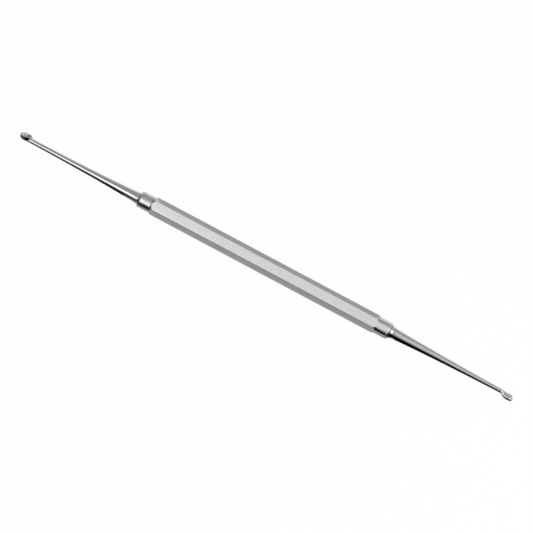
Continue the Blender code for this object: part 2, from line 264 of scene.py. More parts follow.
class EarPickJointSizes(bpy.types.PropertyGroup):
    """Sizes of the sockets, tangs and braze that the ends share."""

    tang: bpy.props.FloatProperty(
        name="Tang", description="Diameter of the tang in its socket",
        default=1.80 * MM, unit="LENGTH",
    )
    tang_length: bpy.props.FloatProperty(
        name="Tang length", description="From the shoulder to the tang's inner end",
        default=6.00 * MM, unit="LENGTH",
    )
    braze_space: bpy.props.FloatProperty(
        name="Braze space", description="Space between a tang and its socket",
        default=0.16 * MM, unit="LENGTH",
    )
    fit_gap: bpy.props.FloatProperty(
        name="Fit gap", description="Gap between the braze and its neighbours",
        default=0.04 * MM, unit="LENGTH",
    )
    seam: bpy.props.FloatProperty(
        name="Seam", description="Width of the seam between a shank's shoulder and the bar",
        default=0.18 * MM, unit="LENGTH",
    )
    sleeve: bpy.props.FloatProperty(
        name="Braze sleeve", description="How far the braze runs into the socket",
        default=4.50 * MM, unit="LENGTH",
    )
    large_seam: bpy.props.FloatProperty(
        name="Large end seam", description="Outside of the braze in the large end's seam",
        default=2.76 * MM, unit="LENGTH",
    )
    small_seam: bpy.props.FloatProperty(
        name="Small end seam", description="Outside of the braze in the small end's seam",
        default=3.30 * MM, unit="LENGTH",
    )
    flare_length: bpy.props.FloatProperty(
        name="Flare length", description="Length in which a shank's foot mostly narrows",
        default=0.37 * MM, unit="LENGTH",
    )


class EarPickScoopSizes(bpy.types.PropertyGroup):
    """Sizes of one scoop end, at first those of the large one."""

    root: bpy.props.FloatProperty(
        name="Root", description="Diameter of the shank at the seam",
        default=2.78 * MM, unit="LENGTH",
    )
    flare: bpy.props.FloatProperty(
        name="Flare", description="How far the foot of the shank flares out over its root, all round",
        default=0.06 * MM, unit="LENGTH",
    )
    neck: bpy.props.FloatProperty(
        name="Neck", description="Diameter of the shank at the cup",
        default=1.15 * MM, unit="LENGTH",
    )
    taper: bpy.props.FloatProperty(
        name="Taper", description="Share of the shank in which its hollow taper mostly runs out",
        default=0.42, min=0.1, max=2.0,
    )
    cup_length: bpy.props.FloatProperty(
        name="Cup length", description="Length of the cup's rim",
        default=2.82 * MM, unit="LENGTH",
    )
    cup_width: bpy.props.FloatProperty(
        name="Cup width", description="Width of the cup's rim",
        default=2.20 * MM, unit="LENGTH",
    )
    rim_height: bpy.props.FloatProperty(
        name="Rim height", description="Height of the rim's middle over the shank's axis",
        default=0.76 * MM, unit="LENGTH",
    )
    rim_drop: bpy.props.FloatProperty(
        name="Rim drop", description="How much lower the rim is at the tip than at its middle",
        default=0.20 * MM, unit="LENGTH",
    )
    bluntness: bpy.props.FloatProperty(
        name="Bluntness", description="Power of the rim's outline at the tip, where 2 is an ellipse",
        default=2.3, min=1.5, max=4.0,
    )
    heel_bluntness: bpy.props.FloatProperty(
        name="Heel bluntness", description="Power of the rim's outline at the heel",
        default=2.6, min=1.5, max=4.0,
    )
    section_power: bpy.props.FloatProperty(
        name="Section power", description="Power of the cup's cross-section, where 2 is an ellipse",
        default=2.0, min=1.5, max=4.0,
    )
    back_depth: bpy.props.FloatProperty(
        name="Back depth", description="Depth of the cup's back under the shank's axis",
        default=0.58 * MM, unit="LENGTH",
    )
    wall: bpy.props.FloatProperty(
        name="Wall", description="Thickness of the cup's wall at the rim",
        default=0.20 * MM, unit="LENGTH",
    )
    bowl_length: bpy.props.FloatProperty(
        name="Bowl length", description="Length of the hollow",
        default=2.42 * MM, unit="LENGTH",
    )
    bowl_depth: bpy.props.FloatProperty(
        name="Bowl depth", description="Depth of the hollow under the rim",
        default=0.72 * MM, unit="LENGTH",
    )
    heel_width: bpy.props.FloatProperty(
        name="Heel width", description="Width of the cup's heel, where it rises from the shank",
        default=0.70 * MM, unit="LENGTH",
    )
    heel_power: bpy.props.FloatProperty(
        name="Heel power", description="Power of the cross-section at the heel, where 1 is a V",
        default=1.0, min=1.0, max=4.0,
    )
    keel: bpy.props.FloatProperty(
        name="Keel", description="How far the shank runs on past the foot of the heel's slope",
        default=3.05 * MM, unit="LENGTH",
    )
    heel_slope: bpy.props.FloatProperty(
        name="Heel slope", description="Length in which the shank's front rises to the rim",
        default=0.50 * MM, unit="LENGTH",
    )
    lean: bpy.props.FloatProperty(
        name="Lean", description="How far the cup leans from straight up, about the tool's axis",
        default=math.radians(60), subtype="ANGLE",
    )
    off_line: bpy.props.FloatProperty(
        name="Off line", description="How far brazing left the shank's root beside the bar's axis",
        default=-0.10 * MM, unit="LENGTH",
    )
    off_turn: bpy.props.FloatProperty(
        name="Off turn", description="How far brazing left the shank turned from the bar's axis",
        default=math.radians(-0.11), subtype="ANGLE",
    )


class EarPickFinish(bpy.types.PropertyGroup):
    """Colours and grain of the metals and the table, as sRGB hex values and real sizes."""

    bar_steel: bpy.props.StringProperty(
        name="Bar steel", description="Satin stainless steel of the flats", default="#D5D3D3",
    )
    turned_steel: bpy.props.StringProperty(
        name="Turned steel", description="Stainless steel left by the lathe", default="#C1BFBF",
    )
    shank_steel: bpy.props.StringProperty(
        name="Shank steel", description="Polished stainless steel of the scoops", default="#BEBCBC",
    )
    braze: bpy.props.StringProperty(
        name="Braze", description="Silver braze, a little yellower than steel", default="#B6B5B2",
    )
    table: bpy.props.StringProperty(
        name="Table", description="White table", default="#F2F2F2",
    )
    brushing: bpy.props.FloatProperty(
        name="Brushing", description="Spacing of the brush marks across the flats",
        default=0.30 * MM, unit="LENGTH",
    )
    tool_marks: bpy.props.FloatProperty(
        name="Tool marks", description="Spacing of the lathe's marks on the collars",
        default=0.16 * MM, unit="LENGTH",
    )


SETTINGS = {
    "ear_pick_bar": EarPickBarSizes,
    "ear_pick_joint": EarPickJointSizes,
    "ear_pick_large": EarPickScoopSizes,
    "ear_pick_small": EarPickScoopSizes,
    "ear_pick_finish": EarPickFinish,
}

# Where the small scoop end differs from the large one
SMALL_SCOOP = {
    "root": 2.80 * MM, "flare": 0.31 * MM, "neck": 0.96 * MM, "taper": 0.70,
    "cup_length": 1.76 * MM, "cup_width": 1.97 * MM, "rim_height": 0.77 * MM,
    "rim_drop": 0.0, "bluntness": 2.25, "heel_bluntness": 3.0, "section_power": 2.9,
    "back_depth": 0.11 * MM, "wall": 0.18 * MM, "bowl_length": 2.39 * MM,
    "bowl_depth": 0.55 * MM, "heel_width": 1.94 * MM, "heel_power": 2.5, "keel": 0.95 * MM,
    "heel_slope": 1.78 * MM, "lean": math.radians(132),
    "off_line": 0.07 * MM, "off_turn": math.radians(-0.20),
}


def linear(hex_colour):
    """An sRGB hex value such as #C0C0BE as a linear colour with alpha."""
    channels = [int(hex_colour[place:place + 2], 16) / 255 for place in (1, 3, 5)]
    return [
        value / 12.92 if value <= 0.04045 else ((value + 0.055) / 1.055) ** 2.4
        for value in channels
    ] + [1.0]


def add_node(tree, kind, settings=None, links=None):
    """Add a node, set its properties and sockets by name, and link sockets to it.

    A key of settings that is an input's name or number sets that socket. A value of
    links is another node, whose first output is used, or a pair of a node and an output.
    In a Mix node the factor is socket 0, two numbers are 2 and 3, and two colours 6 and 7.
    """
    node = tree.nodes.new(kind)
    for key, value in (settings or {}).items():
        if isinstance(key, str) and hasattr(node, key):
            setattr(node, key, value)
        else:
            node.inputs[key].default_value = value
    for key, source in (links or {}).items():
        if isinstance(source, tuple):
            tree.links.new(source[0].outputs[source[1]], node.inputs[key])
        else:
            tree.links.new(source.outputs[0], node.inputs[key])
    return node


def new_material(name):
    """An empty node material with its output."""
    material = bpy.data.materials.new(name)
    material.use_nodes = True
    tree = material.node_tree
    tree.nodes.clear()
    return material, tree, add_node(tree, "ShaderNodeOutputMaterial")


def stretched_noise(tree, spacing, stretch, detail, roughness):
    """Noise of the object's own coordinates, with a spacing in metres.

    Stretch says how dense it is along X, Y and Z, as shares of that spacing's density.
    """
    place = add_node(tree, "ShaderNodeTexCoord")
    scaled = add_node(
        tree, "ShaderNodeMapping",
        {"Scale": [share / spacing for share in stretch]}, {"Vector": (place, "Object")},
    )
    return add_node(
        tree, "ShaderNodeTexNoise",
        {"Scale": 1.0, "Detail": detail, "Roughness": roughness}, {"Vector": scaled},
    )


def spread(low, high):
    """Settings that spread most of a noise over a range."""
    return {"From Min": NOISE_LOW, "From Max": NOISE_HIGH, "To Min": low, "To Max": high}


def darker(colour, share):
    """A linear colour brought down to a share of its brightness."""
    return [share * value for value in colour[:3]] + [1.0]


def satin_bar_steel():
    """Stainless bar, satin finished by hand on a fine belt, across the bar.

    The belt's marks run round the bar, so they are narrow along X and long across it.
    They spread a lamp's reflection along the bar and leave it sharper across. Where
    fingers and cloths rub, the long edges are smoother than the flats. Real belt marks are
    too fine to show from this far, so the marks are drawn several times as coarse.
    """
    finish = bpy.context.scene.ear_pick_finish
    material, tree, output = new_material("satin_stainless_bar")
    colour = linear(finish.bar_steel)
    marks = stretched_noise(tree, finish.brushing, (1.0, 0.06, 0.06), detail=6.0, roughness=0.62)
    clouds = stretched_noise(tree, CLOUD_SIZE, (1.0, 0.8, 0.8), detail=3.0, roughness=0.5)
    worn = add_node(tree, "ShaderNodeAttribute", {"attribute_name": "edge_wear"})
    streaks = add_node(tree, "ShaderNodeMapRange", spread(0.35, 1.0), {"Value": marks})
    tone = add_node(
        tree, "ShaderNodeMix",
        {"data_type": "RGBA", 6: darker(colour, 0.90), 7: colour}, {0: streaks},
    )
    shade = add_node(tree, "ShaderNodeMapRange", spread(0.95, 1.0), {"Value": clouds})
    mottled = add_node(
        tree, "ShaderNodeMix",
        {"data_type": "RGBA", "blend_type": "MULTIPLY", 0: 1.0}, {6: (tone, 2), 7: shade},
    )
    rough = add_node(tree, "ShaderNodeMapRange", spread(0.26, 0.36), {"Value": marks})
    polished = add_node(
        tree, "ShaderNodeMix", {"data_type": "FLOAT", 3: 0.14}, {0: (worn, "Fac"), 2: rough},
    )
    bump = add_node(
        tree, "ShaderNodeBump", {"Strength": 0.22, "Distance": BELT_DEPTH}, {"Height": marks},
    )
    shader = add_node(
        tree, "ShaderNodeBsdfPrincipled", {"Metallic": 1.0},
        {"Base Color": (mottled, 2), "Roughness": (polished, 0), "Normal": bump},
    )
    tree.links.new(shader.outputs[0], output.inputs["Surface"])
    return material


def turned_bar_steel():
    """Stainless steel as the lathe left it, lightly buffed.

    Fine rings run round the collar, so it mirrors what is above it as bands along the
    tool, drawn out a little lengthways. The rings are drawn coarser than the lathe
    leaves them, so that they show.
    """
    finish = bpy.context.scene.ear_pick_finish
    material, tree, output = new_material("turned_stainless_collar")
    colour = linear(finish.turned_steel)
    rings = stretched_noise(tree, finish.tool_marks, (1.0, 0.0, 0.0), detail=4.0, roughness=0.6)
    smudges = stretched_noise(tree, SMUDGE_SIZE, (1.0, 1.0, 1.0), detail=3.0, roughness=0.5)
    streaks = add_node(tree, "ShaderNodeMapRange", spread(0.0, 1.0), {"Value": rings})
    tone = add_node(
        tree, "ShaderNodeMix",
        {"data_type": "RGBA", 6: darker(colour, 0.93), 7: colour}, {0: streaks},
    )
    rough = add_node(tree, "ShaderNodeMapRange", spread(0.18, 0.26), {"Value": smudges})
    bump = add_node(
        tree, "ShaderNodeBump", {"Strength": 0.20, "Distance": TOOL_MARK_DEPTH}, {"Height": rings},
    )
    shader = add_node(
        tree, "ShaderNodeBsdfPrincipled", {"Metallic": 1.0},
        {"Base Color": (tone, 2), "Roughness": rough, "Normal": bump},
    )
    tree.links.new(shader.outputs[0], output.inputs["Surface"])
    return material


def polished_shank_steel():
    """Stainless steel polished on a felt wheel.

    It mirrors sharply. Very fine polishing lines run round the shank, and thin wipe
    marks change the roughness in patches. The wheel doesn't reach all of a cup, which
    stays a little duller. The lines are drawn coarser than life, or they wouldn't show.
    """
    finish = bpy.context.scene.ear_pick_finish
    material, tree, output = new_material("polished_stainless_shank")
    colour = linear(finish.shank_steel)
    lines = stretched_noise(tree, POLISH_SPACING, (1.0, 0.08, 0.08), detail=5.0, roughness=0.6)
    patches = stretched_noise(tree, PATCH_SIZE, (0.5, 1.0, 1.0), detail=3.0, roughness=0.5)
    wiped = add_node(tree, "ShaderNodeMapRange", spread(0.0, 1.0), {"Value": patches})
    tone = add_node(
        tree, "ShaderNodeMix",
        {"data_type": "RGBA", 6: darker(colour, 0.95), 7: colour}, {0: wiped},
    )
    bump = add_node(
        tree, "ShaderNodeBump", {"Strength": 0.12, "Distance": POLISH_DEPTH}, {"Height": lines},
    )
    cup = add_node(tree, "ShaderNodeAttribute", {"attribute_name": "cup_satin"})
    felt = add_node(tree, "ShaderNodeMapRange", spread(0.07, 0.12), {"Value": patches})
    rough = add_node(
        tree, "ShaderNodeMath", {"operation": "MULTIPLY_ADD", 1: CUP_ROUGHNESS},
        {0: (cup, "Fac"), 2: felt},
    )
    shader = add_node(
        tree, "ShaderNodeBsdfPrincipled", {"Metallic": 1.0},
        {"Base Color": (tone, 2), "Roughness": rough, "Normal": bump},
    )
    tree.links.new(shader.outputs[0], output.inputs["Surface"])
    return material


def silver_braze():
    """Silver braze, run into the joint and cleaned with a fine file.

    It is a little yellower and duller than the steel, with the soft unevenness of
    metal that set from a melt.
    """
    finish = bpy.context.scene.ear_pick_finish
    material, tree, output = new_material("filed_silver_braze")
    colour = linear(finish.braze)
    pools = stretched_noise(tree, POOL_SIZE, (1.0, 1.0, 1.0), detail=4.0, roughness=0.55)
    tarnish = add_node(tree, "ShaderNodeMapRange", spread(0.0, 1.0), {"Value": pools})
    tone = add_node(
        tree, "ShaderNodeMix",
        {"data_type": "RGBA", 6: darker(colour, 0.70), 7: colour}, {0: tarnish},
    )
    rough = add_node(tree, "ShaderNodeMapRange", spread(0.24, 0.38), {"Value": pools})
    bump = add_node(
        tree, "ShaderNodeBump", {"Strength": 0.4, "Distance": POOL_DEPTH}, {"Height": pools},
    )
    shader = add_node(
        tree, "ShaderNodeBsdfPrincipled", {"Metallic": 1.0},
        {"Base Color": (tone, 2), "Roughness": rough, "Normal": bump},
    )
    tree.links.new(shader.outputs[0], output.inputs["Surface"])
    return material


def white_table():
    """White laminate, matt from the sheet that it was pressed against.

    It has no shine and no grain that shows. Most of its white is its own, so that it stays
    pale to the edge of the picture and in the steel, and the tool shades it only a little.
    """
    finish = bpy.context.scene.ear_pick_finish
    material, tree, output = new_material("matt_white_laminate")
    rays = add_node(tree, "ShaderNodeLightPath")
    seen = add_node(
        tree, "ShaderNodeMath", {"operation": "MAXIMUM"},
        {0: (rays, "Is Camera Ray"), 1: (rays, "Is Glossy Ray")},
    )
    seen_through = add_node(
        tree, "ShaderNodeMath", {"operation": "MAXIMUM"},
        {0: seen, 1: (rays, "Is Transmission Ray")},
    )
    share = add_node(
        tree, "ShaderNodeMath", {"operation": "MULTIPLY", 1: TABLE_WHITE_SHARE}, {0: seen_through},
    )
    matt = add_node(tree, "ShaderNodeBsdfDiffuse", {"Color": linear(finish.table)})
    glow = add_node(tree, "ShaderNodeEmission", {"Color": [1.0] * 4, "Strength": 1.0})
    mixed = add_node(tree, "ShaderNodeMixShader", {}, {0: share, 1: matt, 2: glow})
    tree.links.new(mixed.outputs[0], output.inputs["Surface"])
    return material


def ring_skin(name, rings, materials, closed=False):
    """Join rings of equally many points into one smooth mesh object.

    The ends are capped, unless the last ring is closed onto the first one.
    """
    points = np.array(rings, dtype=float)
    count, around = points.shape[:2]
    mesh = bpy.data.meshes.new(name)
    faces = []
    for start in range(count if closed else count - 1):
        low = start * around
        high = (start + 1) % count * around
        for corner in range(around):
            following = (corner + 1) % around
            faces.append((low + corner, low + following, high + following, high + corner))
    if not closed:
        faces.append(tuple(range(around))[::-1])
        faces.append(tuple(range((count - 1) * around, count * around)))
    mesh.from_pydata(points.reshape(-1, 3).tolist(), [], faces)
    for material in materials:
        mesh.materials.append(material)
    mesh.shade_smooth()
    mesh.set_sharp_from_angle(angle=SHARP_ANGLE)
    piece = bpy.data.objects.new(name, mesh)
    bpy.context.scene.collection.objects.link(piece)
    return piece


def stand_for(piece, node):
    """Place a finished piece in the frame: it rides on the body and stands for its node."""
    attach(piece, "root")
    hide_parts(node)


def turned(profile, around):
    """Rings of a profile (x, radius) turned about X."""
    angles = np.linspace(0, 2 * math.pi, around, endpoint=False)
    return [
        [(x, radius * math.cos(angle), radius * math.sin(angle)) for angle in angles]
        for x, radius in profile
    ]


def arc(centre, radius, start, end, steps):
    """Points of an arc in the (x, radius) plane."""
    return [
        (centre[0] + radius * math.cos(angle), centre[1] + radius * math.sin(angle))
        for angle in np.linspace(start, end, steps)
    ]


def line(start, end, steps):
    """Points of a straight run, without its first one."""
    return [
        (start[0] + (end[0] - start[0]) * share, start[1] + (end[1] - start[1]) * share)
        for share in np.linspace(0, 1, steps + 1)[1:]
    ]


def side_angles():
    """Angles round the bar, closer together near its long edges."""
    angles = []
    for side in range(SIDES):
        middle = side * 2 * HALF_SIDE + HALF_SIDE
        for share in np.linspace(-1, 1, BAR_STEPS, endpoint=False):
            eased = math.sin(share * math.pi / 2)
            angles.append(middle + HALF_SIDE * (EASED_SHARE * eased + (1 - EASED_SHARE) * share))
    return angles


def flat_distance(angle, bar):
    """How far the hexagon's skin stands from the axis, with its crown and soft edges."""
    half = ACROSS_FLATS / 2
    off = abs((angle - HALF_SIDE) % (2 * HALF_SIDE) - HALF_SIDE)
    turn = HALF_SIDE - off
    centre = (half - bar.edge_radius) / math.cos(HALF_SIDE)
    tangent = math.atan((half - bar.edge_radius) * math.tan(HALF_SIDE) / half)
    if turn <= tangent:
        drop = bar.crown * (math.tan(turn) / math.tan(tangent)) ** 2
        return (half - drop) / math.cos(turn)
    reach = centre * math.cos(off)
    reach += math.sqrt(bar.edge_radius ** 2 - (centre * math.sin(off)) ** 2)
    return reach - bar.crown / math.cos(turn)


def soft_minimum(first, second, softness):
    """The smaller of two distances, with the meeting edge rounded off."""
    share = max(softness - abs(first - second), 0) / softness
    return min(first, second) - share * share * softness / 4


def bar_outline(bar, joint):
    """Outline (x, radius) of the turned bar, from the foot of one socket to the other's.

    Over the grip it runs clear of the corners, and the flats alone make the skin there.
    """
    corner = ACROSS_FLATS / 2 / math.cos(HALF_SIDE)
    clear = corner * CLEAR_SHARE
    socket = joint.tang / 2 + joint.braze_space
    socket_centre = socket * SOCKET_CENTRE_SHARE
    start, end = -bar.grip_length / 2, bar.grip_length / 2
    large, small = bar.large_collar / 2, bar.small_collar / 2
    deep = large - bar.groove_depth
    groove = start - bar.groove_width
    left, right = BAR_LOW.x, BAR_HIGH.x
    depth = joint.tang_length
    grip_end = GRIP_END_SHARE * bar.shoulder_length
    points = [(left + depth, socket_centre), (left + depth, socket)]
    points += line(points[-1], (left, socket), SOCKET_STEPS)
    points += arc(
        (left + bar.large_round, large - bar.large_round), bar.large_round,
        math.pi, math.pi / 2, LARGE_ROUND_STEPS,
    )
    points += line(points[-1], (groove, large), LARGE_COLLAR_STEPS)
    points += line(points[-1], (start - bar.groove_width / 2, deep), GROOVE_STEPS)
    points += line(points[-1], (start, large), GROOVE_STEPS)
    points += line(points[-1], (start + bar.shoulder_length, corner), SHOULDER_STEPS)
    points += line(points[-1], (start + grip_end, clear), GRIP_END_STEPS)
    points += line(points[-1], (end - grip_end, clear), GRIP_STEPS)
    points += line(points[-1], (end - bar.shoulder_length, corner), GRIP_END_STEPS)
    points += line(points[-1], (end, small), SHOULDER_STEPS)
    points += line(points[-1], (right - bar.small_round, small), SMALL_COLLAR_STEPS)
    points += arc(
        (right - bar.small_round, small - bar.small_round), bar.small_round,
        math.pi / 2, 0, SMALL_ROUND_STEPS,
    )
    points.append((right, socket))
    points += line((right, socket), (right - depth, socket), SOCKET_STEPS)
    points.append((right - depth, socket_centre))
    return points


class EARPICK_OT_handle_bar(bpy.types.Operator):
    """Build the hexagonal handle bar with its turned collars"""

    bl_idname = "ear_pick.handle_bar"
    bl_label = "Handle Bar"

    def execute(self, context):
        bar = context.scene.ear_pick_bar
        joint = context.scene.ear_pick_joint
        angles = side_angles()
        flats = [flat_distance(angle, bar) for angle in angles]
        outline = bar_outline(bar, joint)
        rings = []
        for x, radius in outline:
            ring = []
            for angle, flat in zip(angles, flats):
                reach = soft_minimum(radius, flat, MEETING_SOFTNESS)
                ring.append((x, reach * math.cos(angle), AXIS_HEIGHT + reach * math.sin(angle)))
            rings.append(ring)
        piece = ring_skin("handle_bar_finished", rings, [satin_bar_steel(), turned_bar_steel()])
        self.mark_surfaces(piece, outline, flats)
        stand_for(piece, "handle_bar")
        return {"FINISHED"}

    def mark_surfaces(self, piece, outline, flats):
        """Give turned faces their own material, and mark the worn long edges."""
        mesh = piece.data
        around = len(flats)
        for polygon in mesh.polygons:
            rows = [index // around for index in polygon.vertices]
            columns = [index % around for index in polygon.vertices]
            radius = sum(outline[row][1] for row in rows) / len(rows)
            flat = sum(flats[column] for column in columns) / len(columns)
            polygon.material_index = int(radius < flat)
        wear = mesh.attributes.new("edge_wear", "FLOAT", "POINT")
        half = ACROSS_FLATS / 2
        corner = max(flats)
        values = [
            max(0.0, (flat - half) / (corner - half)) ** EDGE_WEAR_POWER for flat in flats
        ]
        wear.data.foreach_set("value", values * len(outline))


def smooth_step(value, start, end):
    """Rise smoothly from 0 at start to 1 at end."""
    share = min(max((value - start) / (end - start), 0.0), 1.0)
    return share * share * (3 - 2 * share)


def dome(distance, reach, power=2.0):
    """Height of a unit half ellipse, or a blunter curve, at a distance from its middle."""
    return max(1 - abs(distance / reach) ** power, 0.0) ** (1 / power)


def shank_radius(scoop, joint, length, x):
    """Hollow taper of the shank, from its flared foot at the seam to the neck."""
    decay = math.exp(-(x - joint.seam) / (scoop.taper * length))
    last = math.exp(-1 / scoop.taper)
    share = min(max((decay - last) / (1 - last), 0.0), 1.0)
    flare = scoop.flare * math.exp(-(x - joint.seam) / joint.flare_length)
    return (scoop.neck + (scoop.root - scoop.neck) * share) / 2 + flare


def blended(first, second, power):
    """The larger of two sizes, softened where they are alike."""
    small, large = sorted((first, second))
    return large * (1 + (small / large) ** power) ** (1 / power)


def reach_of_circle(turn, centre, radius):
    """How far a circle about the shank's axis reaches from a point over the axis."""
    over, side = centre * math.sin(turn), centre * math.cos(turn)
    inside = radius ** 2 - side ** 2
    return max(math.sqrt(inside) - over, 0.0) if inside > 0 else 0.0


def reach_of_bowl(turn, centre, half_width, rim, depth, power):
    """How far half an ellipse, or a blunter curve, hung from the rim reaches from a point."""
    across, up = math.cos(turn) / half_width, math.sin(turn) / depth
    under = (rim - centre) / depth
    low, high = 0.0, half_width + depth
    for _ in range(HALVINGS):
        middle = (low + high) / 2
        if abs(middle * across) ** power + abs(under - middle * up) ** power < 1:
            low = middle
        else:
            high = middle
    return low


def cross_section(x, radius, corner_point, crown, bowl_half_width, cup=None):
    """One ring of points: round the back, then over the front with its lips and bowl.

    The corners of the front stand at either side of it. Without a cup, the back is the
    shank's circle and the front is the rest of it. A cup adds half an ellipse, or a
    blunter curve, that hangs from the corners, and the bowl.
    """
    half_width, corner = corner_point
    depth, bowl_depth, power, sharpness = cup or (0.0, 0.0, 0.0, 0.0)
    centre = corner - min(depth, corner) / 2 if cup else corner / 2
    start = math.atan2(corner - centre, half_width)
    points = [(x, half_width, corner)]
    for share in np.linspace(0, 1, BACK_STEPS + 1)[1:-1]:
        turn = start - (math.pi + 2 * start) * share
        reach = reach_of_circle(turn, centre, radius)
        if cup:
            hung = reach_of_bowl(turn, centre, half_width, corner, depth, power)
            reach = blended(reach, hung, sharpness)
        points.append((x, reach * math.cos(turn), centre + reach * math.sin(turn)))
    points.append((x, -half_width, corner))
    lip_run = half_width - bowl_half_width
    lip = [half_width - lip_run * share for share in LIP_SHARES]
    bowl = [bowl_half_width * math.cos(angle) for angle in np.linspace(0, math.pi, FRONT_STEPS + 1)]
    for y in [-y for y in lip] + bowl[::-1] + lip[::-1]:
        height = corner + crown * (dome(y * LIP_SHARE, half_width) - dome(LIP_SHARE, 1))
        if abs(y) < bowl_half_width:
            height -= bowl_depth * dome(y, bowl_half_width)
        points.append((x, y, height))
    return points


def corner_of_circle(radius):
    """Where the corners of the front stand on a circle."""
    return radius * LIP_SHARE, radius * dome(LIP_SHARE, 1)


def circle_section(x, radius):
    """A circular ring of points."""
    side, shoulder = corner_of_circle(radius)
    return cross_section(x, radius, (side, shoulder), radius, side * LIP_SHARE)


def cup_section(scoop, joint, reach, x):
    """Cross-section of the shank, neck or cup at one place along the scoop end.

    From the foot of the heel's slope the shank widens to a post under the rim, and its
    circle fades out as a keel. Past the heel the post gives way to the cup's own outline.
    """
    half_length = scoop.cup_length / 2
    centre = reach - half_length
    heel = centre - half_length
    rise = smooth_step(x, heel - scoop.heel_slope, heel)
    radius = shank_radius(scoop, joint, heel - joint.seam, x)
    if rise == 0:
        return circle_section(x, radius)
    along = max(x, heel) - centre
    bluntness = scoop.bluntness if x > centre else scoop.heel_bluntness
    outline = dome(along, half_length, bluntness)
    post_left = (1 - outline ** SWELL_POWER) ** (1 / SWELL_POWER) if x < centre else 0.0
    side, shoulder = corner_of_circle(radius)
    post = (side + (scoop.heel_width / 2 - side) * rise) * post_left
    half_width = blended(scoop.cup_width / 2 * outline, post, SWELL_POWER)
    rim = scoop.rim_height - scoop.rim_drop * along / half_length
    corner = shoulder + (rim - shoulder) * rise
    core = radius * dome(min(x - heel + scoop.heel_slope, scoop.keel), scoop.keel)
    under = radius + (scoop.back_depth - radius) * rise ** 2
    post_depth = (corner + under * (1 - (core / radius) ** JOIN_POWER)) * post_left
    back = dome(along, half_length) if x > centre else outline
    depth = blended((scoop.rim_height + scoop.back_depth) * back, post_depth, SWELL_POWER)
    bowl = dome(x - bowl_centre(scoop, reach), scoop.bowl_length / 2, bluntness)
    power = 1 + (scoop.heel_power - 1) * rise
    power += (scoop.section_power - scoop.heel_power) * smooth_step(x, heel, centre)
    return cross_section(
        x, core, (half_width, corner), radius * (1 - rise),
        bowl_reach(scoop, bowl, half_width, rise),
        (depth, scoop.bowl_depth * bowl, power, JOIN_POWER / rise),
    )


def bowl_centre(scoop, reach):
    """Where the middle of the hollow stands along the scoop end."""
    return reach - scoop.wall - scoop.bowl_length / 2


def bowl_reach(scoop, bowl, half_width, rise):
    """Half the hollow's width, or half of what lies between the lips where it has none."""
    inner = scoop.cup_width / 2 - scoop.wall
    if bowl > 0:
        return min(inner * bowl, half_width - scoop.wall)
    narrow = min(inner * BOWL_END_SHARE, half_width * LIP_SHARE)
    return narrow + (half_width * LIP_SHARE - narrow) * (1 - rise)


def scoop_stations(scoop, joint, reach):
    """Places of the rings along the shank and the cup."""
    half_length = scoop.cup_length / 2
    centre = reach - half_length
    slope_start = centre - half_length - scoop.heel_slope
    half_bowl = scoop.bowl_length / 2
    middle = bowl_centre(scoop, reach)
    bowl_start = middle - half_bowl * dome(BOWL_END_SHARE, 1, scoop.heel_bluntness)
    bowl_end = middle + half_bowl * dome(BOWL_END_SHARE, 1, scoop.bluntness)
    tip_end = centre + half_length * dome(TIP_END_SHARE, 1, scoop.bluntness)
    places = [
        joint.seam + (slope_start - joint.seam) * share ** SHANK_SPACING_POWER
        for share in np.linspace(0, 1, SHANK_STEPS)
    ]
    places += list(np.linspace(slope_start, bowl_start, NECK_STEPS + 1)[1:])
    places += [
        bowl_end + (bowl_end - bowl_start) / 2 * (math.cos(angle) - 1)
        for angle in np.linspace(math.pi, 0, BOWL_STEPS + 1)[1:]
    ]
    places += [
        bowl_end + (tip_end - bowl_end) * math.sin(angle)
        for angle in np.linspace(0, math.pi / 2, TIP_STEPS + 1)[1:]
    ]
    return places


def build_scoop(name, node, scoop, face_x, tip_x, material):
    """One scoop end: its tang, its shank and its cup, with its face at face_x.

    The tang stands square in the bar. The shank and the cup stand a little askew, and the
    end at the low side of X is turned about.
    """
    joint = bpy.context.scene.ear_pick_joint
    reach = abs(tip_x - face_x)
    tang = joint.tang / 2
    chamfer = tang * TANG_CHAMFER_SHARE
    inner = joint.seam - joint.tang_length
    rings = [
        circle_section(inner, tang - chamfer), circle_section(inner + chamfer, tang),
        circle_section(joint.seam, tang),
    ]
    lean = Matrix.Rotation(scoop.lean, 4, "X")
    if tip_x < face_x:
        lean = Matrix.Rotation(math.pi, 4, "Z") @ lean
    face = Matrix.Translation((face_x, 0, AXIS_HEIGHT))
    askew = Matrix.Translation((0, scoop.off_line, 0)) @ Matrix.Rotation(scoop.off_turn, 4, "Z")
    placed = [[face @ lean @ Vector(point) for point in ring] for ring in rings]
    rings += [cup_section(scoop, joint, reach, x) for x in scoop_stations(scoop, joint, reach)]
    placed += [
        [face @ askew @ lean @ Vector(point) for point in ring] for ring in rings[len(placed):]
    ]
    piece = ring_skin(name, placed, [material])
    heel = reach - scoop.cup_length
    satin = piece.data.attributes.new("cup_satin", "FLOAT", "POINT")
    satin.data.foreach_set("value", [
        smooth_step(point[0], heel - scoop.heel_slope, heel) for ring in rings for point in ring
    ])
    stand_for(piece, node)


class EARPICK_OT_scoop_ends(bpy.types.Operator):
    """Build both scoop ends: tapered shanks with hollow cups that open opposite ways"""

    bl_idname = "ear_pick.scoop_ends"
    bl_label = "Scoop Ends"

    def execute(self, context):
        scene = context.scene
        for key, value in SMALL_SCOOP.items():
            setattr(scene.ear_pick_small, key, value)
        steel = polished_shank_steel()
        build_scoop(
            "large_scoop_finished", "large_scoop_end", scene.ear_pick_large,
            BAR_LOW.x, LARGE_TIP, steel,
        )
        build_scoop(
            "small_scoop_finished", "small_scoop_end", scene.ear_pick_small,
            BAR_HIGH.x, SMALL_TIP, steel,
        )
        return {"FINISHED"}


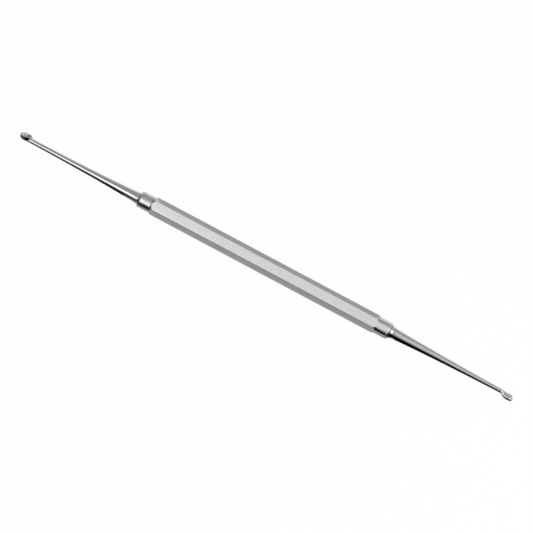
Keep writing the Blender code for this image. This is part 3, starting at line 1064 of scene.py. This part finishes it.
def build_braze(name, node, outside, face_x, outward, material):
    """One braze joint: a sleeve in the socket and the ring that shows in the seam."""
    joint = bpy.context.scene.ear_pick_joint
    gap = joint.fit_gap
    tang = joint.tang / 2
    socket = tang + joint.braze_space
    profile = [
        (gap, socket - gap), (-joint.sleeve, socket - gap), (-joint.sleeve, tang + gap),
        (joint.seam - gap, tang + gap), (joint.seam - gap, outside / 2), (gap, outside / 2),
    ]
    placed = [(face_x + outward * x, radius) for x, radius in profile]
    piece = ring_skin(name, turned(placed[::outward], BRAZE_FACETS), [material], closed=True)
    piece.data.transform(Matrix.Translation((0, 0, AXIS_HEIGHT)))
    stand_for(piece, node)


class EARPICK_OT_braze_joints(bpy.types.Operator):
    """Build the braze that shows in the seams between the shanks and the bar"""

    bl_idname = "ear_pick.braze_joints"
    bl_label = "Braze Joints"

    def execute(self, context):
        joint = context.scene.ear_pick_joint
        material = silver_braze()
        build_braze(
            "large_end_braze_finished", "large_end_braze", joint.large_seam,
            BAR_LOW.x, -1, material,
        )
        build_braze(
            "small_end_braze_finished", "small_end_braze", joint.small_seam,
            BAR_HIGH.x, 1, material,
        )
        return {"FINISHED"}


def add_soft_box(name, place, size, radiance, spin, aim):
    """A rectangular lamp that faces down, or a point. Radiance 1 looks white in a mirror."""
    lamp = bpy.data.lights.new(name, "AREA")
    lamp.shape = "RECTANGLE"
    lamp.size, lamp.size_y = size
    lamp.energy = radiance * math.pi * size[0] * size[1]
    item = bpy.data.objects.new(name, lamp)
    bpy.context.scene.collection.objects.link(item)
    turn = Matrix.Rotation(spin, 4, "Z")
    if aim:
        turn = (Vector(aim) - Vector(place)).to_track_quat("-Z", "Y").to_matrix().to_4x4() @ turn
    item.matrix_world = Matrix.Translation(place) @ turn
    item.visible_camera = False


def add_card(name, tone, corners):
    """A card that only shows in the steel, as a photographer's flag does: a painted reflection,
    glowing in its own tone, that lights nothing and casts no shadow.
    """
    mesh = bpy.data.meshes.new(name)
    mesh.from_pydata(corners, [], [tuple(range(len(corners)))])
    material, tree, output = new_material(name + "_paper")
    # Painted reflection: the card glows in its own tone and lights nothing
    painted_reflection = add_node(tree, "ShaderNodeEmission", {"Color": linear(tone), "Strength": 1.0})
    tree.links.new(painted_reflection.outputs[0], output.inputs["Surface"])
    mesh.materials.append(material)
    card = bpy.data.objects.new(name, mesh)
    bpy.context.scene.collection.objects.link(card)
    card.visible_camera = False
    card.visible_diffuse = False
    card.visible_shadow = False


class EARPICK_OT_stage(bpy.types.Operator):
    """Lay the white table, hang the lamps and set the camera where the photograph was taken"""

    bl_idname = "ear_pick.stage"
    bl_label = "Stage"

    def execute(self, context):
        scene = context.scene
        self.lay_table()
        self.hang_lamps(scene)
        self.set_camera(scene)
        scene.view_settings.view_transform = "Standard"
        return {"FINISHED"}

    def lay_table(self):
        """A square of table, flat under the tool."""
        mesh = bpy.data.meshes.new("white_table")
        side = TABLE_SIDE / 2
        corners = [(-side, -side, 0), (side, -side, 0), (side, side, 0), (-side, side, 0)]
        mesh.from_pydata(corners, [], [(0, 1, 2, 3)])
        mesh.materials.append(white_table())
        table = bpy.data.objects.new("white_table", mesh)
        bpy.context.scene.collection.objects.link(table)

    def hang_lamps(self, scene):
        """The grey room, the soft boxes and the cards."""
        world = bpy.data.worlds.new("pale_studio")
        world.use_nodes = True
        world.node_tree.nodes["Background"].inputs["Color"].default_value = linear(STUDIO_GREY)
        scene.world = world
        for box in SOFT_BOXES:
            add_soft_box(*box)
        for card in CARDS:
            add_card(*card)

    def set_camera(self, scene):
        """A camera nearly straight above, turned so that the tool slopes across the picture."""
        camera = bpy.data.cameras.new("photograph_view")
        item = bpy.data.objects.new("photograph_view", camera)
        scene.collection.objects.link(item)
        camera.lens = LENS
        camera.sensor_width = SENSOR
        toward = Vector((math.tan(CAMERA_TILT_X), -math.tan(CAMERA_TILT_Y), 1.0)).normalized()
        along = (Vector((1, 0, 0)) - toward * toward.x).normalized()
        across = toward.cross(along)
        right = along * math.cos(PHOTO_SLOPE) + across * math.sin(PHOTO_SLOPE)
        up = across * math.cos(PHOTO_SLOPE) - along * math.sin(PHOTO_SLOPE)
        distance = LENS / SENSOR * PHOTO_SIDE * PIXEL
        aim = Vector((AIM_ALONG, AIM_ACROSS, AXIS_HEIGHT))
        turn = Matrix((right, up, toward)).transposed().to_4x4()
        item.matrix_world = Matrix.Translation(aim + toward * distance) @ turn
        camera.clip_start = distance / CLIP_RATIO
        camera.clip_end = distance * CLIP_RATIO
        scene.camera = item


class EARPICK_PT_panel(bpy.types.Panel):
    """Sizes, finish and the steps of the ear pick"""

    bl_label = "Ear Pick"
    bl_idname = "EARPICK_PT_panel"
    bl_space_type = "VIEW_3D"
    bl_region_type = "UI"
    bl_category = "Ear Pick"

    def draw(self, context):
        for group, settings in SETTINGS.items():
            box = self.layout.box()
            box.label(text=settings.__doc__)
            for key in settings.__annotations__:
                box.prop(getattr(context.scene, group), key)
        for operator in STEPS:
            self.layout.operator(operator.bl_idname)


STEPS = (EARPICK_OT_handle_bar, EARPICK_OT_scoop_ends, EARPICK_OT_braze_joints, EARPICK_OT_stage)
CLASSES = (*dict.fromkeys(SETTINGS.values()), *STEPS, EARPICK_PT_panel)


def register():
    """Register the classes and give the scene its settings."""
    for item in CLASSES:
        bpy.utils.register_class(item)
    for name, settings in SETTINGS.items():
        setattr(bpy.types.Scene, name, bpy.props.PointerProperty(type=settings))


def unregister():
    """Take the settings and the classes away again."""
    for name in SETTINGS:
        delattr(bpy.types.Scene, name)
    for item in reversed(CLASSES):
        bpy.utils.unregister_class(item)


def main():
    """Register, build every piece and the stage."""
    register()
    bpy.ops.ear_pick.handle_bar()
    bpy.ops.ear_pick.scoop_ends()
    bpy.ops.ear_pick.braze_joints()
    bpy.ops.ear_pick.stage()


if __name__ == "__main__":
    main()
